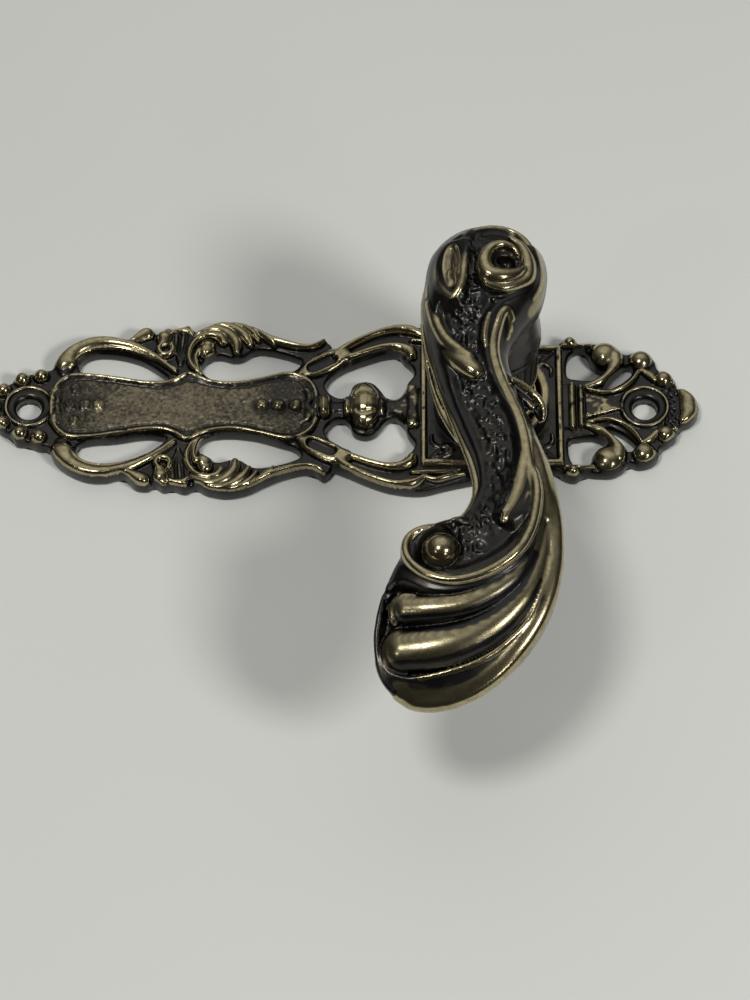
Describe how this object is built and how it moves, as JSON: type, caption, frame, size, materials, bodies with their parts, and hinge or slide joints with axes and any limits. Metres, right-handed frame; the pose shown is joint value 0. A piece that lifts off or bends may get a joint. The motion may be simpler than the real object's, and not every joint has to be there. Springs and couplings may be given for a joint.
{
  "type": "lever door handle",
  "caption": "Cast lever handle in rococo style on a long openwork backplate, spring-returned, for a square spindle.",
  "frame": {"origin": "on the spindle axis, at the plate's back face", "axes": "+X along the backplate towards its short end (up on a door), -Y the way the lever points, +Z out of the door towards the hand"},
  "size_m": [0.1518, 0.1161, 0.0609],
  "materials": {
    "antique_brass": "cast, darkened in the hollows, rubbed bright on the ridges",
    "dark_brass": "darkened, satin",
    "bush_bronze": "turned bronze",
    "spring_steel": "oiled spring steel",
    "plated_steel": "zinc plated pressing",
    "black_steel": "blackened steel",
    "nylon": "natural nylon"
  },
  "bodies": {
    "plate": {"backplate": "antique_brass", "neck_bush": "bush_bronze", "return_spring": "spring_steel", "spring_cover": "plated_steel", "cover_screws": "plated_steel"},
    "lever": {"lever": "antique_brass", "neck_ferrule": "dark_brass", "grub_screw": "black_steel", "thrust_washer": "nylon", "wave_washer": "spring_steel", "spring_driver": "plated_steel", "retaining_ring": "black_steel"}
  },
  "joints": [
    {"name": "lever_turn", "type": "hinge", "parent": "plate", "child": "lever", "pos_m": [0, 0, 0], "axis": [0, 0, 1], "range_deg": [-45, 0], "stiffness_Nm_per_rad": 0.15, "springref_deg": 51.57, "deforming": ["return_spring"]}
  ]
}
